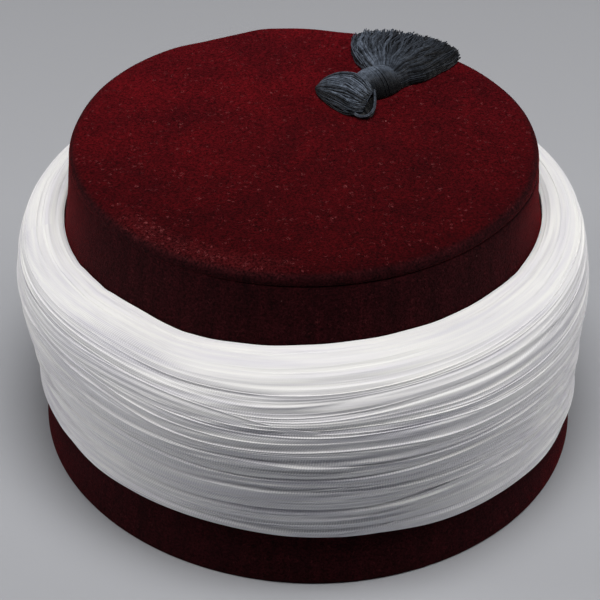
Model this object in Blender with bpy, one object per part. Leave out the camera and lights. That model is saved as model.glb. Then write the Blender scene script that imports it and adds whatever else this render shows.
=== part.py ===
"""A velvet fez with a muslin sash wound round it and a thread tassel on its top.

Metres, +Z up. The front of the hat looks along -Y and its long axis is Y. The hat
stands on its rim, with the middle of its box over the origin.
"""
import math

import bpy

# The velvet side: an oval cone, open below for the head
BASE_HALF_WIDTH = 0.0935    # outside, across the ears, at the rim
BASE_HALF_LENGTH = 0.1020   # outside, front to back, at the rim
TOP_HALF_WIDTH = 0.0785     # outside, at the seam with the tip
TOP_HALF_LENGTH = 0.0805
SEAM_HEIGHT = 0.1045        # rim to seam
TOP_LEAN = -0.0020          # the tip sits this far to one side of the rim's centre
WALL = 0.003
RIM_ROUNDING = 0.0006       # radius where the velvet turns in under the rim

# The velvet tip: a stiff disc whose edge rolls down to the seam
TIP_HEIGHT = 0.1090         # rim to the flat of the tip
TIP_ROLL_WIDTH = 0.0043     # how far in from the seam the roll starts
TIP_ROLL_BULGE = 0.0006     # how far the roll stands out past the seam
TIP_LIP = 0.004             # width of the edge that sits on the side
TIP_CROWN = 0.0002          # the flat rises this much to its middle

# The muslin sash, measured out from the velvet at each angle round the hat. These
# sizes ease round the hat through their values at +X, the back, -X and the front.
SASH_THICKNESS = (0.0137, 0.0140, 0.0150, 0.0192)
SASH_BELLY = (4.9, 2.5, 4.4, 2.4)       # the higher, the nearer the thickest turns lie to the top
SASH_FULLNESS = (3.5, 2.6, 3.2, 2.15)   # 2 is an ellipse, higher is squarer
# Its lower edge: a mean and its waves round the hat, cos a, sin a, cos 2a and sin 2a
SASH_BOTTOM = (0.0169, -0.00102, -0.00016, -0.00107, 0.00133)
# Its upper edge lies on the velvet.
#   angle_deg, height
SASH_TOP = (
    (-170, 0.0816),
    (-162, 0.0827),
    (-154, 0.0837),
    (-146, 0.0842),
    (-139, 0.0850),
    (-133, 0.0848),
    (-128, 0.0836),
    (-123, 0.0830),
    (-117, 0.0837),
    (-110, 0.0841),
    (-102, 0.0849),
    (-92, 0.0855),
    (-80, 0.0861),
    (-73, 0.0857),
    (-55, 0.0860),
    (-36, 0.0853),
    (-12, 0.0846),
    (60, 0.0840),
    (100, 0.0834),
    (140, 0.0824),
    (190, 0.0816),
)
SASH_LIP = 0.0027           # thickness of the lowest turn's edge
SASH_LIP_ROUNDING = 0.06    # share of the sash's height over which that edge rounds

# The main folds of the sash. Heights are shares of its own height, 0 at the lower
# edge and 1 at the top; a fold starts at one angle and fades out at another.
#   start_deg, end_deg, start_height, end_height, depth
SASH_FOLDS = (
    (-178, -97, 0.84, 0.745, 0.0016),
    (-135, -100, 0.91, 0.93, 0.0009),
    (-108, -8, 0.83, 0.90, 0.0016),
    (-128, -62, 0.65, 0.60, 0.0012),
    (-86, 8, 0.735, 0.70, 0.0014),
    (-172, -100, 0.54, 0.46, 0.0013),
    (-104, -20, 0.53, 0.45, 0.0012),
    (-170, -92, 0.33, 0.40, 0.0011),
    (-98, -18, 0.19, 0.27, 0.0012),
    (-165, -108, 0.18, 0.15, 0.0008),
    (10, 128, 0.84, 0.66, 0.0015),
    (-5, 112, 0.60, 0.38, 0.0013),
    (60, 186, 0.46, 0.80, 0.0015),
    (96, 196, 0.24, 0.52, 0.0012),
)
FOLD_WIDTH = 0.042          # half the width of a fold, as a share of the height

# The tassel lies on the tip, its neck at this place and its fringe towards the back
TASSEL_PLACE = (0.0264, 0.0290)
TASSEL_TURN = math.radians(27)

GAP = 0.0003                # between pieces that rest on each other
SASH_GAP = 0.0005           # the same for the sash, whose long inner facets cut in a little
AROUND = 72                 # faces round the hat
ROLL_STEPS = 5
SASH_STEPS = 22

VELVET = (0.105, 0.006, 0.011, 1.0)
MUSLIN = (0.83, 0.83, 0.84, 1.0)
THREAD = (0.018, 0.024, 0.032, 1.0)


def clear_scene():
    for thing in list(bpy.data.objects):
        bpy.data.objects.remove(thing, do_unlink=True)


def make_material(name, colour, roughness):
    material = bpy.data.materials.new(name)
    material.use_nodes = True
    shader = material.node_tree.nodes["Principled BSDF"]
    shader.inputs["Base Color"].default_value = colour
    shader.inputs["Roughness"].default_value = roughness
    shader.inputs["Metallic"].default_value = 0.0
    return material


def loft(name, rings, material, parent, collection, closed):
    """Joins rings of points, each with as many as the next, into one closed body.

    With closed set the last ring joins back to the first, as round a hollow;
    without it the first and last rings are covered.
    """
    count = len(rings[0])
    points = [point for ring in rings for point in ring]
    faces = []
    pairs = list(range(len(rings) if closed else len(rings) - 1))
    for low in pairs:
        high = (low + 1) % len(rings)
        for i in range(count):
            j = (i + 1) % count
            faces.append((low * count + i, low * count + j, high * count + j, high * count + i))
    if not closed:
        faces.append(tuple(reversed(range(count))))
        faces.append(tuple((len(rings) - 1) * count + i for i in range(count)))
    mesh = bpy.data.meshes.new(name)
    mesh.from_pydata(points, [], faces)
    mesh.materials.append(material)
    mesh.shade_smooth()
    mesh.set_sharp_from_angle(angle=math.radians(40))
    piece = bpy.data.objects.new(name, mesh)
    piece.parent = parent
    collection.objects.link(piece)
    return piece


def angles():
    return [2 * math.pi * i / AROUND for i in range(AROUND)]


def fez_radius(angle, height):
    """Outside of the velvet side at an angle and a height, from its own centre."""
    share = height / SEAM_HEIGHT
    across = BASE_HALF_WIDTH + (TOP_HALF_WIDTH - BASE_HALF_WIDTH) * share
    along = BASE_HALF_LENGTH + (TOP_HALF_LENGTH - BASE_HALF_LENGTH) * share
    return across * along / math.hypot(along * math.cos(angle), across * math.sin(angle))


def fez_point(angle, radius, height):
    centre = TOP_LEAN * height / SEAM_HEIGHT
    return (centre + radius * math.cos(angle), radius * math.sin(angle), height)


def fez_ring(height, inset):
    return [fez_point(a, fez_radius(a, height) - inset, height) for a in angles()]


def build_side(velvet, hat, collection):
    top = SEAM_HEIGHT - GAP / 2
    rings = [
        fez_ring(0.0, RIM_ROUNDING),
        fez_ring(RIM_ROUNDING * 0.3, RIM_ROUNDING * 0.3),
        fez_ring(RIM_ROUNDING, 0.0),
        fez_ring(top, 0.0),
        fez_ring(top, WALL),
        fez_ring(RIM_ROUNDING, WALL),
        fez_ring(0.0, WALL - RIM_ROUNDING),
    ]
    return loft("fez_side", rings, velvet, hat, collection, closed=True)


def build_tip(velvet, hat, collection):
    foot = SEAM_HEIGHT + GAP / 2
    under = TIP_HEIGHT - WALL
    roll_height = TIP_HEIGHT - foot

    def tip_ring(height, inset):
        return [fez_point(a, fez_radius(a, SEAM_HEIGHT) - inset, height) for a in angles()]

    rings = [tip_ring(under, TIP_LIP + WALL), tip_ring(foot, TIP_LIP), tip_ring(foot, 0.0)]
    for step in range(1, ROLL_STEPS + 1):
        turn = math.pi / 2 * step / ROLL_STEPS
        inset = TIP_ROLL_WIDTH * (1 - math.cos(turn)) - TIP_ROLL_BULGE * math.sin(2 * turn)
        rings.append(tip_ring(foot + roll_height * math.sin(turn), inset))
    middle = fez_radius(0.0, SEAM_HEIGHT) / 2
    rings.append(tip_ring(TIP_HEIGHT + TIP_CROWN, middle))
    return loft("fez_tip", rings, velvet, hat, collection, closed=False)


def ease_round(sides, angle):
    """A size that eases round the hat through its values at +X, the back, -X and the front."""
    right, back, left, front = sides
    return (
        (right + back + left + front) / 4
        + (right - left) / 2 * math.cos(angle)
        + (back - front) / 2 * math.sin(angle)
        + (right + left - back - front) / 4 * math.cos(2 * angle)
    )


def sash_bottom(angle):
    """Height of the sash's lower edge."""
    mean, cosine, sine, cosine_two, sine_two = SASH_BOTTOM
    return (
        mean
        + cosine * math.cos(angle)
        + sine * math.sin(angle)
        + cosine_two * math.cos(2 * angle)
        + sine_two * math.sin(2 * angle)
    )


def sash_top(angle):
    """Height of the sash's upper edge on the velvet."""
    first = SASH_TOP[0][0]
    degrees = (math.degrees(angle) - first) % 360 + first
    for (start, start_height), (end, end_height) in zip(SASH_TOP, SASH_TOP[1:]):
        if degrees <= end:
            return start_height + (end_height - start_height) * (degrees - start) / (end - start)


def fold_relief(angle, share):
    """How far the sash's surface sinks at its main folds."""
    sunk = 0.0
    for start_deg, end_deg, start_height, end_height, depth in SASH_FOLDS:
        start = math.radians(start_deg)
        length = math.radians(end_deg) - start
        along = ((angle - start) % (2 * math.pi)) / length
        if along < 1:
            line = start_height + (end_height - start_height) * along
            shape = math.exp(-(((share - line) / FOLD_WIDTH) ** 2))
            sunk += depth * shape * math.sin(math.pi * along) ** 0.5
    return sunk


def sash_point(angle, share):
    """A point of the sash's outside, share 0 at its lower edge and 1 at its top."""
    low = sash_bottom(angle)
    height = low + (sash_top(angle) - low) * share
    fullness = ease_round(SASH_FULLNESS, angle)
    rise = abs(2 * share ** ease_round(SASH_BELLY, angle) - 1)
    belly = max(0.0, 1 - rise ** fullness) ** (1 / fullness)
    rounding = 1 - min(share / SASH_LIP_ROUNDING, 1)
    lip = SASH_LIP * (1 - share) * math.sqrt(1 - rounding * rounding)
    proud = ease_round(SASH_THICKNESS, angle) * belly + lip
    sunk = min(fold_relief(angle, share), proud * 0.3)
    return fez_point(angle, fez_radius(angle, height) + SASH_GAP + proud - sunk, height)


def build_sash(muslin, hat, collection):
    lip_shares = [SASH_LIP_ROUNDING * (1 - math.cos(math.pi / 2 * i / 3)) for i in range(3)]
    rise = [i / (SASH_STEPS - 1) for i in range(SASH_STEPS)]
    # the steps close up towards the top, where the surface turns in
    body_shares = [SASH_LIP_ROUNDING + (1 - SASH_LIP_ROUNDING) * (1 - (1 - s) ** 1.6) for s in rise]
    rings = [[sash_point(a, share) for a in angles()] for share in lip_shares + body_shares]
    return loft("turban_sash", rings, muslin, hat, collection, closed=True)


def thread_section(along, centre, half_width, height, count, squareness):
    """One cross-section of a bundle of threads that lies flat on the tip."""
    ring = []
    for i in range(count):
        turn = 2 * math.pi * i / count
        side = math.copysign(abs(math.cos(turn)) ** squareness, math.cos(turn))
        up = math.copysign(abs(math.sin(turn)) ** squareness, math.sin(turn))
        ring.append((along, centre + half_width * side, GAP + height / 2 * (1 + up)))
    return ring


def build_head(thread, tassel, collection):
    #   along, centre, half_width, height
    sections = (
        (-0.0184, 0.0006, 0.0070, 0.0016),
        (-0.0178, 0.0003, 0.0100, 0.0034),
        (-0.0158, -0.0010, 0.0119, 0.0055),
        (-0.0128, -0.0018, 0.0126, 0.0070),
        (-0.0095, -0.0014, 0.0112, 0.0078),
        (-0.0070, -0.0003, 0.0091, 0.0079),
        (-0.0053, 0.0000, 0.0076, 0.0077),
    )
    rings = [thread_section(*row, count=20, squareness=0.75) for row in sections]
    return loft("tassel_head", rings, thread, tassel, collection, closed=False)


def build_binding(thread, tassel, collection):
    #   along, centre, half_width, height
    sections = (
        (-0.0050, 0.0, 0.0072, 0.0088),
        (-0.0042, 0.0, 0.0078, 0.0096),
        (0.0000, 0.0, 0.0080, 0.0099),
        (0.0042, 0.0, 0.0078, 0.0096),
        (0.0050, 0.0, 0.0072, 0.0088),
    )
    rings = [thread_section(*row, count=20, squareness=0.8) for row in sections]
    return loft("tassel_binding", rings, thread, tassel, collection, closed=False)


def build_skirt(thread, tassel, collection):
    # Each section lies across the fan, at a radius from the binding's middle. It is
    # straight where the threads leave the binding and an arc at their ends.
    #   radius, right_deg, left_deg, straightness, height
    sections = (
        (0.0053, -52, 53, 1.0, 0.0085),
        (0.0085, -42, 61, 0.5, 0.0086),
        (0.0130, -30, 71, 0.0, 0.0083),
        (0.0190, -24, 75, 0.0, 0.0075),
        (0.0255, -18, 74, 0.0, 0.0063),
        (0.0315, -12, 71, 0.0, 0.0051),
        (0.0357, -7, 69, 0.0, 0.0038),
        (0.0372, -5, 67, 0.0, 0.0020),
    )
    rings = []
    for radius, right_deg, left_deg, straightness, height in sections:
        middle = math.radians(left_deg + right_deg) / 2
        spread = math.radians(left_deg - right_deg) / 2
        ring = []
        for _, side, up in thread_section(0.0, 0.0, 1.0, height, count=24, squareness=0.75):
            turn = middle + side * spread
            reach = radius / math.cos(turn) ** straightness
            ring.append((reach * math.cos(turn), reach * math.sin(turn), up))
        rings.append(ring)
    return loft("tassel_skirt", rings, thread, tassel, collection, closed=False)


def centre_on_origin(hat, pieces):
    """Moves the hat so that the middle of its box is over the origin."""
    bpy.context.view_layer.update()
    corners = [piece.matrix_world @ vertex.co for piece in pieces for vertex in piece.data.vertices]
    for axis in (0, 1):
        values = [corner[axis] for corner in corners]
        hat.location[axis] = -(min(values) + max(values)) / 2
    bpy.context.view_layer.update()


def main():
    clear_scene()
    collection = bpy.data.collections.new("turbaned_fez")
    bpy.context.scene.collection.children.link(collection)
    velvet = make_material("burgundy_velvet", VELVET, 0.95)
    muslin = make_material("white_muslin", MUSLIN, 0.9)
    thread = make_material("black_thread", THREAD, 0.55)

    hat = bpy.data.objects.new("hat", None)
    collection.objects.link(hat)
    tassel = bpy.data.objects.new("tassel", None)
    collection.objects.link(tassel)
    tassel.parent = hat
    tassel.location = (*TASSEL_PLACE, TIP_HEIGHT + TIP_CROWN)
    tassel.rotation_euler = (0.0, 0.0, TASSEL_TURN)

    pieces = [
        build_side(velvet, hat, collection),
        build_tip(velvet, hat, collection),
        build_sash(muslin, hat, collection),
        build_head(thread, tassel, collection),
        build_binding(thread, tassel, collection),
        build_skirt(thread, tassel, collection),
    ]
    centre_on_origin(hat, pieces)


main()
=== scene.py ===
"""The looks of a velvet fez with a muslin sash wound round it and a thread tassel on its tip.

Metres, +Z up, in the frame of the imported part. Angles go round the hat from +X, so the
front is at -90 degrees. Heights on the sash are shares of its own height, 0 at its lower
edge and 1 at its top edge.
"""
from functools import partial
from math import cos, pi, radians, sin, sqrt

import bpy
import numpy as np
from mathutils import Matrix, Vector


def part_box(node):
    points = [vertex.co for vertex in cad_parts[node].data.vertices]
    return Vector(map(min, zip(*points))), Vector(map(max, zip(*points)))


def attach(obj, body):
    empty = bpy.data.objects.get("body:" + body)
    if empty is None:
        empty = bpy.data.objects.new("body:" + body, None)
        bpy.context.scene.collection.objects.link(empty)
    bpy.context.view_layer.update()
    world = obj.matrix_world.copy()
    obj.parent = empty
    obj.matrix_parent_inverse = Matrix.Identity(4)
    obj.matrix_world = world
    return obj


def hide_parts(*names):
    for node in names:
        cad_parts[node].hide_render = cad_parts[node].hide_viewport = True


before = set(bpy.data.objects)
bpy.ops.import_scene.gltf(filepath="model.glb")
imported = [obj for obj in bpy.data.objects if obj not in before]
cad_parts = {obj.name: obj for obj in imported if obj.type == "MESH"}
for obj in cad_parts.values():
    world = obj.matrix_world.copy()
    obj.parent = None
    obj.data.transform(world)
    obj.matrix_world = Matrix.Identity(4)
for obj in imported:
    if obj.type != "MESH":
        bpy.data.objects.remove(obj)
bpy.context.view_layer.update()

MM = 0.001

# The hat's form, from the frame
side_low, side_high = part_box("fez_side")
tip_low, tip_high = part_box("fez_tip")
MIDDLE = (side_low + side_high) / 2           # the rim's centre is over this point
RIM_HALF = (side_high - side_low) / 2         # across the ears, and front to back
SEAM_HEIGHT = side_high.z
TIP_HEIGHT = tip_high.z
TOP_LEAN = -2.0 * MM                          # the tip sits this far to one side
WALL = 3.0 * MM
RIM_ROUNDING = 0.9 * MM
ROLL_WIDTH = 4.3 * MM                         # of the tip's rolled edge
ROLL_BULGE = 0.6 * MM
TOP_HALF = (tip_high - tip_low) / 2 - Vector((ROLL_BULGE, ROLL_BULGE, 0))
TIP_SWELL = 0.2 * MM                          # its middle stands this far above its edge
VELVET_WAVES = 0.05 * MM

# The sash's outer form, as in the part's own solid. These sizes ease round the hat through
# their values at +X, the back, -X and the front.
SASH_THICKNESS = (13.7 * MM, 14.0 * MM, 15.0 * MM, 19.2 * MM)
SASH_BELLY = (4.9, 2.5, 4.4, 2.4)
SASH_FULLNESS = (3.5, 2.6, 3.2, 2.15)
SASH_LIP = 2.7 * MM
SASH_LIP_ROUNDING = 0.06
SASH_GAP = 0.5 * MM
# Its lower edge's mean height, and the waves of that edge once and twice round the hat
SASH_BOTTOM = (0.0169, -0.00102, -0.00016, -0.00107, 0.00133)
# Its upper edge on the velvet, as angle and height in mm
SASH_TOP = (
    (-170, 81.6), (-162, 82.7), (-154, 83.7), (-146, 84.2), (-139, 85.0), (-133, 84.8),
    (-128, 83.6), (-123, 83.0), (-117, 83.7), (-110, 84.1), (-102, 84.9), (-92, 85.5),
    (-80, 86.1), (-73, 85.7), (-55, 86.0), (-36, 85.3), (-12, 84.6), (60, 84.0),
    (100, 83.4), (140, 82.4),
)
# Small nicks in that edge, where one turn ends on the next: angle and depth in mm
EDGE_NICKS = ((-161, 0.4), (-148, 0.45), (-124, 0.2), (-38, 0.3), (12, 0.25), (96, 0.25), (171, 0.25))
PLEATS_PROUD = 0.9 * MM     # the pleats fill the form's last part, so their bed lies deeper
SASH_RADIUS = 105 * MM      # on average, for lengths along the cloth
TURNS_SOFTENED = 6.0        # degrees, for the ways below
CREASE = 0.07 * MM          # height of the soft creases that run askew

# The sash's main turns from the top down. Each has the lift of its folded edge in
# millimetres, how many small pleats lie under it, and its way round as angle, height.
TURNS = (
    (0.28, 3, (
        (-170, .950), (-153, .945), (-138, .940), (-126, .930), (-114, .910), (-100, .894),
        (-82, .900), (-71, .922), (-58, .932), (-44, .948), (-30, .960), (-16, .962), (30, .950),
        (75, .935), (120, .945), (155, .955), (175, .955))),
    (0.26, 4, (
        (-170, .905), (-146, .900), (-132, .892), (-124, .893), (-116, .880), (-108, .846),
        (-102, .852), (-95, .862), (-88, .872), (-74, .890), (-58, .900), (-46, .914), (-31, .930),
        (-16, .936), (30, .910), (75, .885), (120, .895), (155, .910))),
    (0.27, 4, (
        (-170, .860), (-146, .832), (-132, .834), (-124, .830), (-114, .804), (-108, .782),
        (-104, .778), (-94, .786), (-83, .802), (-74, .830), (-64, .824), (-54, .818), (-43, .840),
        (-32, .856), (-20, .870), (10, .850), (50, .820), (90, .825), (130, .845), (165, .860))),
    (0.28, 4, (
        (-170, .830), (-146, .800), (-132, .800), (-124, .800), (-114, .768), (-106, .747),
        (-99, .737), (-90, .743), (-84, .754), (-74, .741), (-64, .729), (-52, .727), (-39, .735),
        (-28, .752), (0, .740), (40, .740), (80, .735), (120, .770), (155, .815))),
    (0.34, 4, (
        (-168, .795), (-155, .785), (-146, .780), (-136, .774), (-124, .770), (-116, .745),
        (-109, .722), (-98, .710), (-88, .707), (-74, .702), (-63, .685), (-48, .667), (-34, .657),
        (-15, .640), (20, .620), (60, .620), (100, .660), (140, .730), (170, .790))),
    (0.42, 5, (
        (-165, .730), (-150, .718), (-140, .705), (-132, .687), (-123, .655), (-114, .625),
        (-109, .625), (-98, .631), (-85, .635), (-74, .617), (-58, .599), (-43, .588), (-29, .530),
        (0, .490), (40, .490), (80, .510), (120, .570), (160, .690), (178, .720))),
    (0.52, 5, (
        (-162, .635), (-146, .600), (-137, .580), (-124, .580), (-112, .570), (-102, .559),
        (-94, .545), (-85, .520), (-74, .519), (-58, .528), (-42, .500), (-26, .420), (0, .390),
        (40, .400), (80, .430), (120, .490), (160, .600))),
    (0.85, 5, (
        (-164, .500), (-147, .487), (-138, .470), (-124, .480), (-116, .455), (-106, .435),
        (-98, .445), (-84, .447), (-72, .480), (-60, .476), (-43, .430), (-24, .310), (0, .290),
        (40, .320), (80, .350), (120, .390), (160, .470))),
    (0.85, 6, (
        (-167, .355), (-158, .340), (-146, .325), (-133, .350), (-123, .357), (-109, .380),
        (-104, .367), (-97, .377), (-92, .367), (-82, .359), (-74, .349), (-62, .357), (-46, .320),
        (-22, .200), (0, .190), (40, .220), (80, .260), (120, .290), (160, .340))),
    (0.85, 6, (
        (-166, .200), (-152, .190), (-140, .186), (-128, .194), (-119, .192), (-110, .198),
        (-102, .212), (-95, .220), (-88, .218), (-82, .232), (-74, .254), (-60, .278), (-42, .215),
        (-20, .090), (0, .100), (40, .130), (80, .150), (120, .170), (160, .200))),
    (0.80, 3, (
        (-165, .078), (-135, .078), (-110, .074), (-92, .066), (-85, .090), (-74, .088), (-45, .084),
        (-22, .048), (0, .050), (40, .060), (80, .070), (120, .080), (160, .085))),
)
TOP_TURN = (0.35, 9)        # lift and pleats between the velvet and the first main turn

# Laps that cross over the turns: width and lift in mm, and the way of the folded edge
LAPS = (
    (9.0, 0.52, (
        (-206, .880), (-190, .872), (-174, .866), (-161, .858), (-152, .850), (-144, .842),
        (-132, .858), (-124, .858), (-114, .830), (-108, .804), (-104, .778), (-98, .745), (-90, .722))),
    (6.0, 0.75, (
        (-102, .176), (-97, .198), (-88, .214), (-82, .236), (-74, .267), (-64, .292), (-52, .299))),
    (3.6, 0.80, (
        (-96, .020), (-90, .038), (-85, .066), (-80, .100), (-76, .110))),
    (5.0, 0.60, (
        (-111, .355), (-104, .363), (-97, .375), (-92, .395), (-85, .405))),
    (8.0, 0.85, (
        (8, .895), (24, .860), (45, .805), (66, .755), (88, .715), (106, .690))),
    (6.0, 0.85, (
        (58, .370), (80, .402), (104, .460), (128, .550), (150, .635), (166, .670))),
)

# One pleat in section, from its hidden tuck over its edge and down its face: how far down in
# shares of its lift and of its width, and how far out in shares of its lift. It is given as
# a fold that lies over the one above, and as a ridge pinched up in the cloth.
PLEAT_SECTION = (
    ((0.50, 0.02, -0.35), (0.00, 0.02, 0.02)),
    ((0.00, 0.00, 0.08), (0.00, 0.12, 0.14)),
    ((0.03, 0.00, 0.66), (0.00, 0.22, 0.40)),
    ((0.20, 0.00, 1.00), (0.00, 0.31, 0.82)),
    ((0.50, 0.05, 0.80), (0.00, 0.37, 1.00)),
    ((0.45, 0.20, 0.38), (0.00, 0.46, 0.74)),
    ((0.20, 0.48, 0.16), (0.00, 0.66, 0.28)),
    ((0.03, 0.95, 0.12), (0.00, 0.90, 0.03)),
)

# Soft grooves pressed into the shoulder: depth, width above and width below in mm, and way
GROOVES = (
    (1.0, 0.8, 3.2, (
        (-131, .922), (-126, .916), (-121, .910), (-114, .903), (-106, .893), (-100, .894))),
    (0.8, 0.7, 2.4, (
        (-112, .842), (-104, .835), (-98, .840), (-92, .850), (-86, .866))),
)

# Where the slanting ribs of the weave start to show: angle, and how far down the cloth in mm
RIBS_FROM = (
    (-180, 7), (-152, 4), (-125, 4), (-114, 12), (-98, 24), (-60, 24), (-30, 14), (20, 10),
    (120, 8),
)

# The tip's stiff edge isn't a true oval: how far it stands out, as angle and mm. The side
# follows it over its last stretch below the seam.
EDGE_OUT = (
    (-97, 0.0), (-77, 0.2), (-57, 0.5), (-42, 1.0), (-26, 1.8), (-7, 1.7), (9, 1.75), (16, 1.6),
    (24, 1.2), (32, 0.9), (40, 0.3), (60, -0.5), (74, -1.5), (80, -0.5), (84, 0.0), (90, 0.4),
    (93, 0.9), (96, 0.6), (99, -0.4), (105, -1.1), (111, -1.0), (114, -0.3), (118, 0.7),
    (125, 1.1), (134, 1.4), (145, 1.35), (152, 1.05), (159, 0.7), (174, 0.65), (194, 0.3),
    (209, 0.0),
)
EDGE_EASES_OVER = 16 * MM

STITCHES = 110              # round the seam between the tip and the side
STITCH_PULL = 0.10 * MM
WORN_SIDE = radians(-125)
DEEP_SEAM_SIDE = radians(-40)

# Columns of points round the sash and round the velvet
AROUND_SASH = 420
AROUND_VELVET = 288
VELVET_ANGLES = np.linspace(0, 2 * pi, AROUND_VELVET, endpoint=False)

# The tassel lies on the tip, its neck at this place and its fringe towards the back
TASSEL_PLACE = Vector((26.4 * MM, 29.0 * MM, 0))
TASSEL_TURN = radians(27)
THREAD = 0.23 * MM          # radius
LOWEST_THREAD = 0.45        # mm that a thread's middle lies above the tip

# The view of the photograph
CAMERA_AZIMUTH = radians(-6.48)
CAMERA_ELEVATION = radians(34.97)
CAMERA_DISTANCE = 0.950
CAMERA_AIM = MIDDLE.xy.to_3d() + Vector((-2.7 * MM, 0.3 * MM, 43.3 * MM))
CAMERA_LENS = 162.17        # mm, on a 36 mm sensor


# Small tools
def linear(colour):
    """An sRGB hex colour as linear red, green, blue and full alpha."""
    parts = [int(colour[i:i + 2], 16) / 255 for i in (1, 3, 5)]
    return [p / 12.92 if p <= 0.04045 else ((p + 0.055) / 1.055) ** 2.4 for p in parts] + [1.0]


def fill(node, inputs):
    """Links a node's sockets, or gives them their values. A text is a colour."""
    for name, value in inputs.items():
        if isinstance(value, bpy.types.NodeSocket):
            node.id_data.links.new(value, node.inputs[name])
        else:
            node.inputs[name].default_value = linear(value) if isinstance(value, str) else value


def add_node(tree, kind, inputs, gives=None, **settings):
    """Adds a node. Inputs are its sockets' values or links, and settings its options. It
    gives the output that is named, or else the first one in use."""
    node = tree.nodes.new("ShaderNode" + kind)
    for name, value in settings.items():
        setattr(node, name, value)
    fill(node, inputs)
    return node.outputs[gives] if gives else next(out for out in node.outputs if out.enabled)


def new_material(name, finish):
    """A material with these values on its surface shader, and what adds a node to it."""
    material = bpy.data.materials.new(name)
    material.use_nodes = True
    cover(material, finish)
    return material, partial(add_node, material.node_tree)


def cover(material, finish):
    """Gives a material's surface shader its values and links."""
    fill(material.node_tree.nodes["Principled BSDF"], finish)


def put(name, data):
    """An object in the scene, from its mesh, lamp or lens."""
    thing = bpy.data.objects.new(name, data)
    bpy.context.scene.collection.objects.link(thing)
    return thing


def make_mesh(name, points, faces, material, sharp_deg, uvs=None, **amounts):
    """A smooth mesh piece that rides on the hat. uvs holds a pair for each face corner, and
    an amount a value for each point."""
    mesh = bpy.data.meshes.new(name)
    faces = faces.tolist() if isinstance(faces, np.ndarray) else faces
    mesh.from_pydata(np.asarray(points).reshape(-1, 3).tolist(), [], faces)
    if uvs is not None:
        layer = mesh.uv_layers.new(name="cloth")
        layer.data.foreach_set("uv", np.asarray(uvs, np.float32).ravel())
    mesh.materials.append(material)
    mesh.shade_smooth()
    mesh.set_sharp_from_angle(angle=radians(sharp_deg))
    for amount, values in amounts.items():
        layer = mesh.attributes.new(amount, "FLOAT", "POINT")
        layer.data.foreach_set("value", np.asarray(values, np.float32).ravel())
    piece = put(name, mesh)
    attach(piece, "root")
    return piece


def show_back(piece, back, faces):
    """Shows the cloth's back on some of a piece's faces."""
    piece.data.materials.append(back)
    shows = np.zeros(len(piece.data.polygons), np.int32)
    shows[faces] = 1
    piece.data.polygons.foreach_set("material_index", shows)


def quads(rows, columns):
    """The rows and the columns of the four corners of each quad in a grid."""
    row, column = np.indices((rows, columns))
    return (np.stack([row, row, row + 1, row + 1], -1).reshape(-1, 4),
            np.stack([column, column + 1, column + 1, column], -1).reshape(-1, 4))


def ring_faces(rows, columns):
    """Quads of a grid that closes round both its rows and its columns."""
    row, column = quads(rows, columns)
    return row % rows * columns + column % columns


def smooth_step(x):
    x = np.clip(x, 0, 1)
    return x * x * (3 - 2 * x)


def unit(arrows):
    return arrows / np.maximum(np.linalg.norm(arrows, axis=-1, keepdims=True), 1e-12)


def run_lengths(paths):
    """Distances along paths of points, each from its own start."""
    steps = np.linalg.norm(np.diff(paths, axis=1), axis=2)
    return np.pad(np.cumsum(steps, axis=1), ((0, 0), (1, 0)))


def soften(values, before, after, spread):
    """Values smoothed along their line, with those that come before and after them."""
    kernel = np.exp(-0.5 * (np.arange(-len(before), len(after) + 1) / spread) ** 2)
    return np.convolve(np.concatenate([before, values, after]), kernel / kernel.sum(), "valid")


def read_round(table, angle, shifts=(0,)):
    """A table by angle in degrees, read round the hat and softened over some shifts."""
    at, value = zip(*table)
    reads = (np.interp(np.degrees(angle) + shift, at, value, period=360) for shift in shifts)
    return sum(reads) / len(shifts)


# The form of the hat
def fez_radius(angle, height):
    """Outside of the velvet side from its own centre."""
    share = height / SEAM_HEIGHT
    across = RIM_HALF.x + (TOP_HALF.x - RIM_HALF.x) * share
    along = RIM_HALF.y + (TOP_HALF.y - RIM_HALF.y) * share
    return across * along / np.hypot(along * np.cos(angle), across * np.sin(angle))


def edge_out(angle, height):
    """How far the velvet stands out from its oval where the tip's edge isn't true."""
    share = smooth_step(1 - (SEAM_HEIGHT - height) / EDGE_EASES_OVER)
    return read_round(EDGE_OUT, angle, (-1.5, 0, 1.5)) * MM * share


def hat_points(angle, radius, height):
    """Points at these distances from the hat's middle line, which leans a little."""
    centre = MIDDLE.x + TOP_LEAN * height / SEAM_HEIGHT
    return np.stack([centre + radius * np.cos(angle), MIDDLE.y + radius * np.sin(angle),
                     height + 0 * angle], -1)


def ease_round(sides, angle):
    """A size that eases round the hat through its values at +X, the back, -X and the front."""
    right, back, left, front = sides
    return ((right + back + left + front) / 4 + (right - left) / 2 * np.cos(angle)
            + (back - front) / 2 * np.sin(angle)
            + (right + left - back - front) / 4 * np.cos(2 * angle))


def sash_edges(angle):
    """Heights of the sash's lower and upper edges."""
    mean, c1, s1, c2, s2 = SASH_BOTTOM
    low = (mean + c1 * np.cos(angle) + s1 * np.sin(angle)
           + c2 * np.cos(2 * angle) + s2 * np.sin(2 * angle))
    return low, read_round(SASH_TOP, angle, range(-8, 9, 2)) * MM


def edge_nicks(angle):
    """How far the small nicks lower the sash's upper edge."""
    deep = 0.08 + 0.06 * np.sin(17 * angle + 1) + 0.05 * np.sin(29 * angle + 4)
    for at, depth in EDGE_NICKS:
        away = (np.degrees(angle) - at + 180) % 360 - 180
        deep = deep + depth * np.exp(-(away / 2.2) ** 2)
    return deep * MM


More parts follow.
